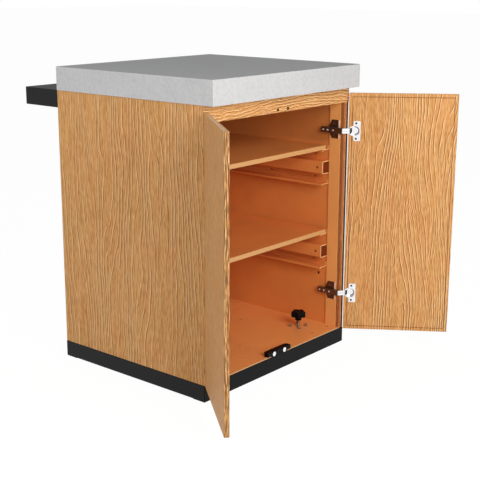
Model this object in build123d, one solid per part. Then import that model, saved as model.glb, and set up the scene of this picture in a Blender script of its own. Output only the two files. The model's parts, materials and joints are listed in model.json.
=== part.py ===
from build123d import *
import math
import os

# Outdoor kitchen cabinet: a steel body with a wood-grain skin and orange inside, a thick
# concrete worktop, two hinged doors, two shelves, four screw levellers and a rear ledge.
# All sizes are in millimetres. The origin is on the ground at the middle of the body's
# footprint, +X is the cabinet's right, +Y its back and +Z up. The doors stand open at rest.

# Whole body
body_width = 670
body_depth = 583
worktop_height = 900
worktop_thickness = 69
worktop_front_overhang = 36
worktop_side_overhang = 3
worktop_rear_setback = 3
wall_thickness = 21

# Gaps and allowances
cut_overrun = 2
seat_gap = 0.2
fit_gap = 0.3
running_gap = 0.06

# Worktop
worktop_shell = 20
worktop_edge_radius = 1
worktop_screw_radius = 2.5
worktop_screw_grip = 25
worktop_screw_head_radius = 5
worktop_screw_head = 3
worktop_screw_from_side = 135
worktop_screw_inset = 12

# Side skins, liners and stiles
skin_sheet = 1.5
skin_bend = 1
skin_inner_return = 12.5
stile_sheet = 1.5
stile_bend = 1.5
stile_depth = 43.8
liner_recess = 3
liner_sheet = 1.5
liner_bend = 1
liner_hole_radius = 2.5
liner_hole_from_stile = 51.5
liner_hole_pitch = 178
liner_hole_columns = 3
liner_hole_above_channel = 37
liner_hole_below_channel = 35
liner_cable_hole_radius = 3.5
liner_cable_hole_from_stile = 30.5
liner_cable_hole_drop = 79

# Plinth, floor and back
plinth_height = 50
plinth_sheet = 2
plinth_flange = 45
plinth_bend = 1
floor_thickness = 3
back_sheet = 1.5
floor_brace_width = 40
floor_brace_sheet = 2
floor_brace_bend = 1.5
floor_rivet_radius = 1.8
floor_rivet_head_radius = 3.2
floor_rivet_head = 0.8
floor_rivet_tail = 1.5
brace_rivet_from_side = 170
front_rivet_inner_from_side = 123
front_rivet_outer_from_side = 39
front_rivet_inset = 32

# Top rails
rail_height = 49
rail_flange = 40
rail_sheet = 1.5
rail_bend = 1
rail_hole_radius = 3
rail_hole_rise = 9
rail_hole_left = 20
rail_hole_right = 26.5

# Shelves and the rails on the side liners
shelf_thickness = 14
shelf_sheet = 1.2
shelf_side_gap = 15
shelf_rear_gap = 1
upper_shelf_drop = 185
upper_shelf_offset = -5
shelf_spacing = 272.5
lower_shelf_offset = 4
side_rail_depth = 33
side_rail_setback = 1
channel_sheet = 3
channel_bend = 2
channel_height = 41
channel_drop_from_shelf = 37
channel_hole_radius = 3
channel_hole_from_end = 20
lip_sheet = 2
lip_bend = 1
lip_wall_flange = 12
lip_turn_down = 6
lower_lip_drop = 31

# Doors
door_middle_gap = 2
door_thickness = 14
door_bottom_lap = 2
door_top_gap = 20
door_gap_behind = 2
door_sheet = 1
door_edge_radius = 1
door_hem = 11
door_hem_gap = 0.4
door_slot_width = 4
door_slot_end = 12
left_door_opening = 130
right_door_opening = 124.5

# Hinges
pivot_from_door_edge = 3.6
pivot_from_inner_face = 6.3
hinge_from_door_bottom = 122
hinge_from_door_top = 117
hinge_plate_sheet = 1.6
hinge_plate_front = 18
hinge_plate_back = 45
hinge_plate_waist = 54.6
hinge_plate_half_height = 28.75
hinge_plate_waist_half_height = 10
hinge_plate_corner = 2
hinge_plate_rise = 3
plate_screw_from_front = 38
plate_screw_rise = 17.5
plate_screw_head_radius = 3.4
plate_screw_head = 1.2
plate_screw_radius = 2
plate_screw_length = 9
arm_front = 0.5
arm_back = 79.5
arm_rise = 11
arm_height = 17.5
arm_web = 1.6
arm_cheek = 1.5
arm_corner = 1
arm_screw_from_fronts = (34, 54.5, 71.5)
arm_screw_radius = 2.6
arm_screw_head = 0.8
knuckle_thickness = 2.4
knuckle_height = 15.5
knuckle_tang_height = 13.5
knuckle_tang_length = 34
knuckle_tang_setback = 2
knuckle_bend = 3.5
knuckle_corner_from_pivot = 5.5
knuckle_corner_forward = 3.8
knuckle_eye_radius = 2.1
pin_radius = 1.25
cup_centre_from_edge = 20.8
cup_radius = 15.5
cup_wall = 1
cup_depth = 11.8
cup_flange_thickness = 1.2
cup_flange_lift = 0.02
cup_flange_far = 37.5
cup_flange_lobe = 15.8
cup_flange_tip = 3.4
cup_flange_half_height = 31
cup_flange_lobe_half_height = 17
cup_flange_tip_half_height = 11
cup_flange_corner = 3
cup_neck_half_height = 8.5
cup_neck_wall = 1.2
cup_neck_start = 1.3
cup_neck_end = 12
cup_edge_notch = 2
cup_screw_from_edge = 23.6
cup_screw_spacing = 48
cup_screw_head_radius = 2.9
cup_screw_radius = 1.75
cup_screw_length = 9
cup_screw_recess = 0.3
cup_screw_socket_radius = 1.6
cup_screw_socket_depth = 0.6

# Magnetic catch at the middle of the floor's front edge
catch_length = 110
catch_depth = 20
catch_height = 13
catch_proud = 1.5
catch_lip_drop = 4
catch_corner = 6
catch_magnet_radius = 7.2
catch_magnet_spacing = 50
catch_magnet_proud = 0.2
catch_magnet_rise = 4.5

# Screw levellers
leveller_from_side = 100
leveller_from_front = 105
leveller_from_back = 105
leveller_plate_size = 60
leveller_plate_thickness = 4
leveller_boss_radius = 9
leveller_boss_height = 14
leveller_bolt_spacing = 36
leveller_bolt_radius = 2.5
leveller_bolt_end = 11
leveller_nut_across = 8
leveller_nut_height = 5
leveller_bolt_head_radius = 4.5
leveller_bolt_head = 3
spindle_radius = 4
spindle_hole_radius = 6
knob_rise = 22
knob_hub_radius = 10.5
knob_hub_height = 11
knob_lobe_height = 19
knob_radius = 24
knob_lobe_radius = 8
knob_core_radius = 15
knob_lobes = 5
knob_edge_radius = 2
knob_cap_thickness = 3
foot_clearance = 1
foot_radius = 19
foot_disc = 6
foot_boss_radius = 8.5
foot_boss_height = 9
foot_floor = 3
foot_edge_radius = 1.5

# Rear ledge
ledge_depth = 146
ledge_height = 52
ledge_sheet = 2
ledge_edge_radius = 3
ledge_bracket_width = 30
ledge_bracket_sheet = 3
ledge_bracket_reach = 110
ledge_bracket_inset = 60
ledge_bolt_radius = 3
ledge_bolt_head_radius = 5.5
ledge_bolt_head = 4
ledge_bolt_length = 12

# Places worked out from the sizes above
half_width = body_width / 2
front_y = -body_depth / 2
rear_y = body_depth / 2
body_top = worktop_height - worktop_thickness
inner_x = half_width - wall_thickness
leveller_x = half_width - leveller_from_side
brace_rivet_x = half_width - brace_rivet_from_side
front_rivet_inner_x = half_width - front_rivet_inner_from_side
front_rivet_outer_x = half_width - front_rivet_outer_from_side
liner_x = inner_x + liner_recess
floor_top = plinth_height + floor_thickness
rail_bottom = body_top - rail_height
ledge_bottom = body_top - ledge_height
stile_front = front_y + skin_inner_return
stile_rear = stile_front + stile_depth
back_front = rear_y - skin_sheet - back_sheet
side_rail_x = liner_x - side_rail_depth
side_rail_front = stile_rear + side_rail_setback
side_rail_rear = back_front - shelf_rear_gap
shelf_half_width = liner_x - shelf_side_gap
upper_shelf_top = body_top - upper_shelf_drop
lower_shelf_top = upper_shelf_top - shelf_spacing
door_width = half_width - door_middle_gap
door_bottom = plinth_height - door_bottom_lap
door_top = body_top - door_top_gap
hinge_heights = (door_bottom + hinge_from_door_bottom, door_top - hinge_from_door_top)

os.makedirs("parts", exist_ok=True)


# A box between two corners.
def block(x0, x1, y0, y1, z0, z1):
    centre = Pos((x0 + x1) / 2, (y0 + y1) / 2, (z0 + z1) / 2)
    return centre * Box(abs(x1 - x0), abs(y1 - y0), abs(z1 - z0))


# A round bar from one point to another.
def bar(start, end, radius):
    run = Vector(*end) - Vector(*start)
    return extrude(Plane(origin=start, z_dir=run) * Circle(radius), amount=run.length)


# The same shape on the other side of the cabinet.
def other_side(shape):
    return mirror(shape, about=Plane.YZ)


# One compound from a list of shapes, each kept as its own solid.
def group(shapes):
    solids = []
    for shape in shapes:
        solids.extend(shape.solids())
    return Compound(children=solids)


def save(shape, node):
    shape.label = node
    export_step(shape, "parts/" + node + ".step")


# Section of a sheet folded along a line of points. The sheet lies on the line's left, and
# each fold has the same inner radius.
def folded_section(points, sheet, bend):
    line = [Vector(*point) for point in points]
    normals = []
    for first, second in zip(line, line[1:]):
        along = (second - first).normalized()
        normals.append(Vector(-along.Y, along.X))
    far = [line[0] + normals[0] * sheet]
    near_radii = []
    far_radii = []
    for index in range(1, len(line) - 1):
        before = normals[index - 1]
        after = normals[index]
        mitre = (before + after) * (sheet / (1 + before.dot(after)))
        far.append(line[index] + mitre)
        left_turn = before.X * after.Y - before.Y * after.X > 0
        near_radii.append(bend + sheet if left_turn else bend)
        far_radii.append(bend if left_turn else bend + sheet)
    far.append(line[-1] + normals[-1] * sheet)
    near_line = FilletPolyline(*line, radius=near_radii)
    far_line = FilletPolyline(*far, radius=far_radii)
    ends = [Line(near_line @ 1, far_line @ 1), Line(far_line @ 0, near_line @ 0)]
    return make_face(near_line.edges() + far_line.edges() + ends)


# A section drawn in plan view, standing between two heights.
def stand(section, z0, z1):
    return extrude(Pos(0, 0, z0) * section, amount=z1 - z0)


# A section drawn with its first axis along Y and its second along Z, run between two X.
def run_across(section, x0, x1):
    plane = Plane(origin=(x0, 0, 0), x_dir=(0, 1, 0), z_dir=(1, 0, 0))
    return extrude(plane * section, amount=x1 - x0)


# A section drawn with its first axis along X and its second along Z, run between two Y.
def run_back(section, y0, y1):
    plane = Plane(origin=(0, y0, 0), x_dir=(1, 0, 0), z_dir=(0, -1, 0))
    return extrude(plane * section, amount=y0 - y1)


# Worktop: a concrete shell over a board core, screwed to the top rails from below.
worktop_front = front_y - worktop_front_overhang
worktop_rear = rear_y - worktop_rear_setback
worktop_half_width = half_width + worktop_side_overhang
pocket_top = worktop_height - worktop_shell
worktop_screw_ys = (front_y + worktop_screw_inset,
                    worktop_rear - worktop_shell - worktop_screw_inset)


def worktop():
    slab = block(-worktop_half_width, worktop_half_width, worktop_front, worktop_rear, body_top,
                 worktop_height)
    slab = fillet(slab.edges().filter_by(Axis.Z), worktop_edge_radius)
    slab = fillet(slab.faces().sort_by(Axis.Z)[-1].edges(), worktop_edge_radius)
    pocket_x = worktop_half_width - worktop_shell
    pocket = block(-pocket_x, pocket_x, front_y, worktop_rear - worktop_shell,
                   body_top - cut_overrun, pocket_top)
    return slab - pocket


def worktop_core():
    core_x = worktop_half_width - worktop_shell - seat_gap
    core = block(-core_x, core_x, front_y + seat_gap, worktop_rear - worktop_shell - seat_gap,
                 body_top, pocket_top)
    for x, y in worktop_screw_places():
        core -= bar((x, y, body_top - cut_overrun), (x, y, body_top + worktop_screw_grip),
                    worktop_screw_radius)
    return core


def worktop_screw_places():
    screw_x = half_width - worktop_screw_from_side
    return [(side * screw_x, y) for side in (-1, 1) for y in worktop_screw_ys]


def worktop_screws():
    screws = []
    for x, y in worktop_screw_places():
        under = body_top - rail_sheet
        head = bar((x, y, under - worktop_screw_head), (x, y, under), worktop_screw_head_radius)
        shank = bar((x, y, under - worktop_screw_head / 2),
                    (x, y, body_top + worktop_screw_grip - seat_gap), worktop_screw_radius)
        screws.append(head + shank)
    return group(screws)


save(worktop(), "worktop")
save(worktop_core(), "worktop_core")
save(worktop_screws(), "worktop_screws")


# Right side wall: a folded skin, a stile behind its front edge and a folded liner.
def side_skin():
    points = [(inner_x, stile_front), (inner_x, front_y), (half_width, front_y),
              (half_width, rear_y), (inner_x, rear_y)]
    skin = stand(folded_section(points, skin_sheet, skin_bend), plinth_height, body_top)
    rail_notch = block(inner_x - cut_overrun, half_width + cut_overrun, front_y - cut_overrun,
                       front_y + rail_sheet, rail_bottom, body_top + cut_overrun)
    return skin - rail_notch


def side_stile():
    back_x = half_width - skin_sheet
    points = [(back_x, stile_rear), (inner_x, stile_rear), (inner_x, stile_front),
              (back_x, stile_front)]
    stile = stand(folded_section(points, stile_sheet, stile_bend), plinth_height, body_top)
    for hinge_z in hinge_heights:
        for step in (-1, 1):
            z = hinge_z + hinge_plate_rise + step * plate_screw_rise
            y = front_y + plate_screw_from_front
            stile -= bar((inner_x - cut_overrun, y, z), (inner_x + plate_screw_length, y, z),
                         plate_screw_radius + seat_gap)
    return stile


def side_liner():
    back_x = half_width - skin_sheet
    points = [(back_x, back_front), (liner_x, back_front), (liner_x, stile_rear),
              (back_x, stile_rear)]
    liner = stand(folded_section(points, liner_sheet, liner_bend), plinth_height, body_top)
    for channel_z in channel_middles:
        for z in (channel_z + liner_hole_above_channel, channel_z - liner_hole_below_channel):
            for column in range(liner_hole_columns):
                y = stile_rear + liner_hole_from_stile + column * liner_hole_pitch
                liner -= liner_hole(y, z, liner_hole_radius)
    cable_z = channel_middles[1] - liner_cable_hole_drop
    cable_y = stile_rear + liner_cable_hole_from_stile
    return liner - liner_hole(cable_y, cable_z, liner_cable_hole_radius)


def liner_hole(y, z, radius):
    return bar((liner_x - cut_overrun, y, z), (liner_x + liner_sheet + cut_overrun, y, z), radius)


channel_middles = [shelf_top - shelf_thickness - channel_drop_from_shelf - channel_height / 2
                   for shelf_top in (upper_shelf_top, lower_shelf_top)]
for piece, node in ((side_skin(), "side_skin"), (side_stile(), "stile"),
                    (side_liner(), "side_liner")):
    save(piece, "right_" + node)
    save(other_side(piece), "left_" + node)


# Plinth: four black folded channels under the body, open towards its middle.
def plinth_front():
    section = folded_section([(front_y + plinth_flange, plinth_height), (front_y, plinth_height),
                              (front_y, 0), (front_y + plinth_flange, 0)],
                             plinth_sheet, plinth_bend)
    channel = run_across(section, -half_width, half_width)
    for x in (-front_rivet_outer_x, -front_rivet_inner_x, front_rivet_inner_x, front_rivet_outer_x):
        y = front_y + front_rivet_inset
        channel -= bar((x, y, plinth_height - plinth_sheet - cut_overrun),
                       (x, y, plinth_height + cut_overrun), floor_rivet_radius)
    return channel


def plinth_rear():
    section = folded_section([(rear_y - plinth_flange, 0), (rear_y, 0), (rear_y, plinth_height),
                              (rear_y - plinth_flange, plinth_height)],
                             plinth_sheet, plinth_bend)
    return run_across(section, -half_width, half_width)


def plinth_side():
    section = folded_section([(half_width - plinth_flange, 0), (half_width, 0),
                              (half_width, plinth_height),
                              (half_width - plinth_flange, plinth_height)],
                             plinth_sheet, plinth_bend)
    flange_end = front_y + plinth_flange + seat_gap
    channel = run_back(section, flange_end, -flange_end)
    # The web reaches into the front and rear channels, between their flanges.
    web_end = front_y + plinth_sheet + plinth_bend
    web_bottom = plinth_sheet + seat_gap
    return channel + block(half_width - plinth_sheet, half_width, web_end, -web_end,
                           web_bottom, plinth_height - web_bottom)


save(plinth_front(), "plinth_front")
save(plinth_rear(), "plinth_rear")
save(plinth_side(), "plinth_right")
save(other_side(plinth_side()), "plinth_left")


# Floor panel, with its brace and rivets.
brace_y = 0
leveller_places = [(side * leveller_x, y) for side in (-1, 1)
                   for y in (front_y + leveller_from_front, rear_y - leveller_from_back)]
bolt_steps = [(across * leveller_bolt_spacing / 2, along * leveller_bolt_spacing / 2)
              for across in (-1, 1) for along in (-1, 1)]


def floor_panel():
    narrow_x = inner_x - seat_gap
    wide_x = liner_x - seat_gap
    floor = block(-narrow_x, narrow_x, front_y, back_front, plinth_height, floor_top)
    floor += block(-wide_x, wide_x, stile_rear + seat_gap, back_front, plinth_height, floor_top)
    below = plinth_height - cut_overrun
    above = floor_top + cut_overrun
    for x, y in leveller_places:
        floor -= bar((x, y, below), (x, y, above), spindle_hole_radius)
        for dx, dy in bolt_steps:
            floor -= bar((x + dx, y + dy, below), (x + dx, y + dy, above), leveller_bolt_radius)
    for x, y in floor_rivet_places():
        floor -= bar((x, y, below), (x, y, above), floor_rivet_radius)
    return floor


def floor_rivet_places():
    front_row = front_y + front_rivet_inset
    places = [(side * x, front_row) for side in (-1, 1)
              for x in (front_rivet_inner_x, front_rivet_outer_x)]
    return places + [(side * brace_rivet_x, brace_y) for side in (-1, 1)]


def floor_rivets():
    rivets = []
    for x, y in floor_rivet_places():
        sheet = floor_brace_sheet if y == brace_y else plinth_sheet
        bottom = plinth_height - sheet - floor_rivet_tail
        head = bar((x, y, floor_top), (x, y, floor_top + floor_rivet_head), floor_rivet_head_radius)
        shank = bar((x, y, bottom), (x, y, floor_top + floor_rivet_head / 2), floor_rivet_radius)
        rivets.append(head + shank)
    return group(rivets)


# A channel across the body that carries the floor's middle on the ground.
def floor_brace():
    half = floor_brace_width / 2
    section = folded_section([(brace_y + half, plinth_height), (brace_y - half, plinth_height),
                              (brace_y - half, 0), (brace_y + half, 0)],
                             floor_brace_sheet, floor_brace_bend)
    reach = half_width - plinth_flange - seat_gap
    brace = run_across(section, -reach, reach)
    for side in (-1, 1):
        x = side * brace_rivet_x
        brace -= bar((x, brace_y, plinth_height - floor_brace_sheet - cut_overrun),
                     (x, brace_y, plinth_height + cut_overrun), floor_rivet_radius)
    return brace


save(floor_panel(), "floor_panel")
save(floor_rivets(), "floor_rivets")
save(floor_brace(), "floor_brace")


# Top rails: the front one has a face as wide as the body with two small holes.
def front_top_rail():
    section = folded_section([(front_y + rail_flange, body_top), (front_y, body_top),
                              (front_y, rail_bottom), (front_y + rail_flange, rail_bottom)],
                             rail_sheet, rail_bend)
    rail = run_across(section, -inner_x + seat_gap, inner_x - seat_gap)
    for side in (-1, 1):
        rail += block(side * (inner_x - 2 * seat_gap), side * half_width, front_y,
                      front_y + rail_sheet, rail_bottom, body_top)
    hole_z = rail_bottom + rail_hole_rise
    for x in (-rail_hole_left, rail_hole_right):
        rail -= bar((x, front_y - cut_overrun, hole_z), (x, front_y + rail_sheet + cut_overrun,
                                                         hole_z), rail_hole_radius)
    return rail - worktop_screw_holes()


def rear_top_rail():
    section = folded_section([(back_front - rail_flange, rail_bottom), (back_front, rail_bottom),
                              (back_front, body_top), (back_front - rail_flange, body_top)],
                             rail_sheet, rail_bend)
    rail = run_across(section, -liner_x + seat_gap, liner_x - seat_gap)
    for x, z in ledge_bolt_places():
        rail -= bar((x, back_front - rail_sheet - cut_overrun, z),
                    (x, back_front + cut_overrun, z), ledge_bolt_radius)
    return rail - worktop_screw_holes()


def worktop_screw_holes():
    holes = [bar((x, y, body_top - rail_sheet - cut_overrun), (x, y, body_top + cut_overrun),
                 worktop_screw_radius) for x, y in worktop_screw_places()]
    return group(holes)


# Rear ledge: a black tray open below, on two brackets bolted through the back panel.
ledge_rear = rear_y + ledge_depth
bracket_middles = (-half_width + ledge_bracket_inset, half_width - ledge_bracket_inset)


def ledge_bolt_places():
    return [(x, body_top - ledge_height / 2) for x in bracket_middles]


def rear_ledge():
    tray = block(-half_width, half_width, rear_y, ledge_rear, ledge_bottom, body_top)
    tray = fillet(tray.edges().filter_by(Axis.Z), ledge_edge_radius)
    hollow = block(-half_width + ledge_sheet, half_width - ledge_sheet, rear_y + ledge_sheet,
                   ledge_rear - ledge_sheet, ledge_bottom - cut_overrun,
                   body_top - ledge_sheet)
    tray -= hollow
    for x, z in ledge_bolt_places():
        tray -= bar((x, rear_y - cut_overrun, z), (x, rear_y + ledge_sheet + cut_overrun, z),
                    ledge_bolt_radius)
    return tray


# An angle whose upright is bolted to the ledge's front wall and whose arm carries its top.
def ledge_brackets():
    brackets = []
    top = body_top - ledge_sheet
    wall_y = rear_y + ledge_sheet
    for x, z in ledge_bolt_places():
        x0 = x - ledge_bracket_width / 2
        x1 = x + ledge_bracket_width / 2
        arm = block(x0, x1, wall_y, wall_y + ledge_bracket_reach, top - ledge_bracket_sheet, top)
        upright = block(x0, x1, wall_y, wall_y + ledge_bracket_sheet, ledge_bottom, top)
        gusset = Polygon((wall_y, ledge_bottom), (wall_y + ledge_bracket_reach, top),
                         (wall_y, top), align=None)
        gusset = run_across(gusset, x0, x0 + ledge_bracket_sheet)
        hole = bar((x, wall_y - cut_overrun, z),
                   (x, wall_y + ledge_bracket_sheet + cut_overrun, z), ledge_bolt_radius)
        brackets.append(arm + upright + gusset - hole)
    return group(brackets)


def ledge_bolts():
    bolts = []
    for x, z in ledge_bolt_places():
        seat = rear_y + ledge_sheet + ledge_bracket_sheet
        head = bar((x, seat, z), (x, seat + ledge_bolt_head, z), ledge_bolt_head_radius)
        shank = bar((x, seat + ledge_bolt_head / 2, z), (x, seat - ledge_bolt_length, z),
                    ledge_bolt_radius)
        bolts.append(head + shank)
    return group(bolts)


# Back panel, flat behind the rails and shelves, with the ledge's two bolt holes.
def back_panel():
    panel_x = half_width - skin_sheet - skin_bend
    panel = block(-panel_x, panel_x, back_front, rear_y - skin_sheet, plinth_height, body_top)
    for x, z in ledge_bolt_places():
        panel -= bar((x, back_front - cut_overrun, z), (x, rear_y + cut_overrun, z),
                     ledge_bolt_radius)
    return panel


save(front_top_rail(), "front_top_rail")
save(rear_top_rail(), "rear_top_rail")
save(back_panel(), "back_panel")
save(rear_ledge(), "rear_ledge")
save(ledge_brackets(), "ledge_brackets")
save(ledge_bolts(), "ledge_bolts")


# Shelf: a folded tray, open below, that lies a little off the middle on its lips.
def shelf(top, offset):
    tray = block(-shelf_half_width, shelf_half_width, stile_rear, back_front - shelf_rear_gap,
                 top - shelf_thickness, top)
    tray = fillet(tray.faces().sort_by(Axis.Y)[0].edges().filter_by(Axis.X), shelf_sheet)
    hollow = block(-shelf_half_width + shelf_sheet, shelf_half_width - shelf_sheet,
                   stile_rear + shelf_sheet, back_front - shelf_rear_gap - shelf_sheet,
                   top - shelf_thickness - cut_overrun, top - shelf_sheet)
    return Pos(offset, 0, 0) * (tray - hollow)


# Lips on the right liner: one carries each shelf, and one runs below each channel.
def shelf_lips():
    lips = []
    for shelf_top, channel_z in zip((upper_shelf_top, lower_shelf_top), channel_middles):
        lower_top = channel_z - channel_height / 2 - lower_lip_drop
        for top in (shelf_top - shelf_thickness, lower_top):
            section = folded_section([(liner_x - lip_sheet, top + lip_wall_flange),
                                      (liner_x - lip_sheet, top), (side_rail_x, top),
                                      (side_rail_x, top - lip_turn_down)],
                                     lip_sheet, lip_bend)
            lips.append(run_back(section, side_rail_front, side_rail_rear))
    return group(lips)


# Channels on the right liner, each with a hole near its front end.
def side_channels():
    channels = []
    for z in channel_middles:
        top = z + channel_height / 2
        bottom = z - channel_height / 2
        section = folded_section([(liner_x, top), (side_rail_x, top), (side_rail_x, bottom),
                                  (liner_x, bottom)], channel_sheet, channel_bend)
        channel = run_back(section, side_rail_front, side_rail_rear)
        hole_y = side_rail_front + channel_hole_from_end
        channels.append(channel - bar((side_rail_x - cut_overrun, hole_y, z),
                                      (side_rail_x + channel_sheet + cut_overrun, hole_y, z),
                                      channel_hole_radius))
    return group(channels)


save(shelf(upper_shelf_top, upper_shelf_offset), "upper_shelf")
save(shelf(lower_shelf_top, lower_shelf_offset), "lower_shelf")
for piece, node in ((shelf_lips(), "shelf_lips"), (side_channels(), "side_channels")):
    save(piece, "right_" + node)
    save(other_side(piece), "left_" + node)


# Doors, made closed on the right side and then swung open about the hinge pivot.
door_edge = half_width
door_inner_y = front_y - door_gap_behind
door_outer_y = door_inner_y - door_thickness
pivot_x = door_edge - pivot_from_door_edge
pivot_y = door_inner_y - pivot_from_inner_face


# The hole that a cup's bowl and neck need in the door, down to a depth behind its face.
def cup_recess(z, allowance, depth, overrun):
    mouth_y = door_inner_y + overrun
    deep_y = door_inner_y - depth
    centre_x = door_edge - cup_centre_from_edge
    bowl = bar((centre_x, mouth_y, z), (centre_x, deep_y, z), cup_radius + allowance)
    half = cup_neck_half_height + cup_neck_wall + allowance
    neck = block(door_edge - cup_neck_end, door_edge - cup_neck_start + allowance, mouth_y, deep_y,
                 z - half, z + half)
    return bowl + neck


def door_tray():
    tray = block(door_edge - door_width, door_edge, door_outer_y, door_inner_y,
                 door_bottom, door_top)
    tray = fillet(tray.edges(), door_edge_radius)
    tray -= block(door_edge - door_width + door_sheet, door_edge - door_sheet,
                  door_outer_y + door_sheet, door_inner_y - door_sheet,
                  door_bottom + door_sheet, door_top - door_sheet)
    tray -= block(door_edge - door_width + door_hem, door_edge - door_hem,
                  door_inner_y - door_sheet - cut_overrun, door_inner_y + cut_overrun,
                  door_bottom + door_hem, door_top - door_hem)
    middle_y = (door_outer_y + door_inner_y) / 2
    tray -= block(door_edge - door_width + door_slot_end, door_edge - door_slot_end,
                  middle_y - door_slot_width / 2, middle_y + door_slot_width / 2,
                  door_top - door_sheet - cut_overrun, door_top + cut_overrun)
    notch_half = cup_neck_half_height + cup_neck_wall + fit_gap
    for z in hinge_heights:
        tray -= cup_recess(z, fit_gap, cup_depth + fit_gap, cut_overrun)
        tray -= block(door_edge - cup_neck_end, door_edge + cut_overrun,
                      door_inner_y - cup_edge_notch, door_inner_y + cut_overrun,
                      z - notch_half, z + notch_half)
    return tray


def door_core():
    core = block(door_edge - door_width + door_sheet, door_edge - door_sheet,
                 door_outer_y + door_sheet, door_inner_y - door_sheet,
                 door_bottom + door_sheet, door_top - door_sheet)
    for z in hinge_heights:
        core -= cup_recess(z, fit_gap, cup_depth + fit_gap, cut_overrun)
        for x, y, hole_z in cup_screw_places(z):
            core -= bar((x, y + cut_overrun, hole_z), (x, y - cup_screw_length, hole_z),
                        cup_screw_radius)
    return core


def door_pan():
    inset = door_hem + door_hem_gap
    pan = block(door_edge - door_width + inset, door_edge - inset, door_inner_y - door_sheet,
                door_inner_y, door_bottom + inset, door_top - inset)
    for z in hinge_heights:
        pan -= cup_recess(z, fit_gap, cup_depth, cut_overrun)
        for x, y, hole_z in cup_screw_places(z):
            pan -= bar((x, y + cut_overrun, hole_z), (x, y - door_sheet - cut_overrun, hole_z),
                       cup_screw_radius + seat_gap)
    return pan


def cup_screw_places(z):
    x = door_edge - cup_screw_from_edge
    return [(x, door_inner_y, z + step * cup_screw_spacing / 2) for step in (-1, 1)]


# Hinge cup: a winged flange on the door's inner face, a bowl sunk in the door and two
# cheeks by the door's edge that hold the pin.
def hinge_cup(z):
    upper = [(cup_flange_far, cup_flange_half_height), (cup_flange_lobe, cup_flange_half_height),
             (cup_flange_lobe, cup_flange_lobe_half_height),
             (cup_flange_tip, cup_flange_tip_half_height)]
    lower = [(away, -rise) for away, rise in reversed(upper)]
    outline = [(door_edge - away, z + rise) for away, rise in upper + lower]
    wing = make_face(Polyline(*outline, close=True))
    lobe_corners = wing.vertices().filter_by(
        lambda v: abs(v.Y - z) > cup_flange_lobe_half_height + seat_gap)
    wing = fillet(lobe_corners, cup_flange_corner)
    seat_y = door_inner_y + cup_flange_lift
    flange = run_back(wing, seat_y, seat_y + cup_flange_thickness)
    cup = cup_recess(z, 0, cup_depth, cup_flange_lift) + flange
    centre_x = door_edge - cup_centre_from_edge
    mouth_y = door_inner_y + cut_overrun
    inside_y = door_inner_y - cup_depth + cup_wall
    cup -= bar((centre_x, mouth_y, z), (centre_x, inside_y, z), cup_radius - cup_wall)
    cup -= block(door_edge - cup_neck_end, door_edge + cut_overrun, mouth_y,
                 door_inner_y - cup_depth + cup_wall, z - cup_neck_half_height,
                 z + cup_neck_half_height)
    for x, y, hole_z in cup_screw_places(z):
        cup -= bar((x, y - cut_overrun, hole_z), (x, y + cut_overrun, hole_z),
                   cup_screw_head_radius + seat_gap)
    half = cup_neck_half_height + cup_neck_wall + cut_overrun
    cup -= bar((pivot_x, pivot_y, z - half), (pivot_x, pivot_y, z + half),
               pin_radius + running_gap)
    return cup


def cup_screws():
    screws = []
    for z in hinge_heights:
        for x, y, hole_z in cup_screw_places(z):
            top = y + cup_flange_thickness - cup_screw_recess
            head = bar((x, y, hole_z), (x, top, hole_z), cup_screw_head_radius)
            shank = bar((x, y, hole_z), (x, y - cup_screw_length, hole_z), cup_screw_radius)
            socket = bar((x, top + cut_overrun, hole_z), (x, top - cup_screw_socket_depth, hole_z),
                         cup_screw_socket_radius)
            screws.append(head + shank - socket)
    return group(screws)


# Swings a closed right-hand piece open about the pivot.
def open_right(shape):
    return Pos(pivot_x, pivot_y, 0) * Rot(0, 0, right_door_opening) * Pos(-pivot_x, -pivot_y, 0) * shape


# Swings the mirror image of a closed right-hand piece open about the left pivot.
def open_left(shape):
    return (Pos(-pivot_x, pivot_y, 0) * Rot(0, 0, -left_door_opening) * Pos(pivot_x, -pivot_y, 0)
            * other_side(shape))


hinge_cups = group([hinge_cup(z) for z in hinge_heights])
for piece, node in ((door_tray(), "door_tray"), (door_core(), "door_core"),
                    (door_pan(), "door_pan"), (hinge_cups, "hinge_cups"),
                    (cup_screws(), "cup_screws")):
    save(open_right(piece), "right_" + node)
    save(open_left(piece), "left_" + node)


# Hinge plates on the stiles, with the arms, knuckles, pins and screws that they carry.
def hinge_plate(z):
    upper = [(hinge_plate_front, hinge_plate_half_height),
             (hinge_plate_back, hinge_plate_half_height),
             (hinge_plate_waist, hinge_plate_waist_half_height)]
    lower = [(along, -rise) for along, rise in reversed(upper)]
    middle = z + hinge_plate_rise
    outline = [(front_y + along, middle + rise) for along, rise in upper + lower]
    shape = make_face(Polyline(*outline, close=True))
    shape = fillet(shape.vertices(), hinge_plate_corner)
    plate = run_across(shape, inner_x - hinge_plate_sheet, inner_x)
    for x, y, hole_z in plate_screw_places(z):
        plate -= bar((x - hinge_plate_sheet - cut_overrun, y, hole_z),
                     (x + cut_overrun, y, hole_z), plate_screw_radius + seat_gap)
    return plate


def plate_screw_places(z):
    y = front_y + plate_screw_from_front
    middle = z + hinge_plate_rise
    return [(inner_x, y, middle + step * plate_screw_rise) for step in (-1, 1)]


arm_face_x = inner_x - arm_rise
plate_face_x = inner_x - hinge_plate_sheet


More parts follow.
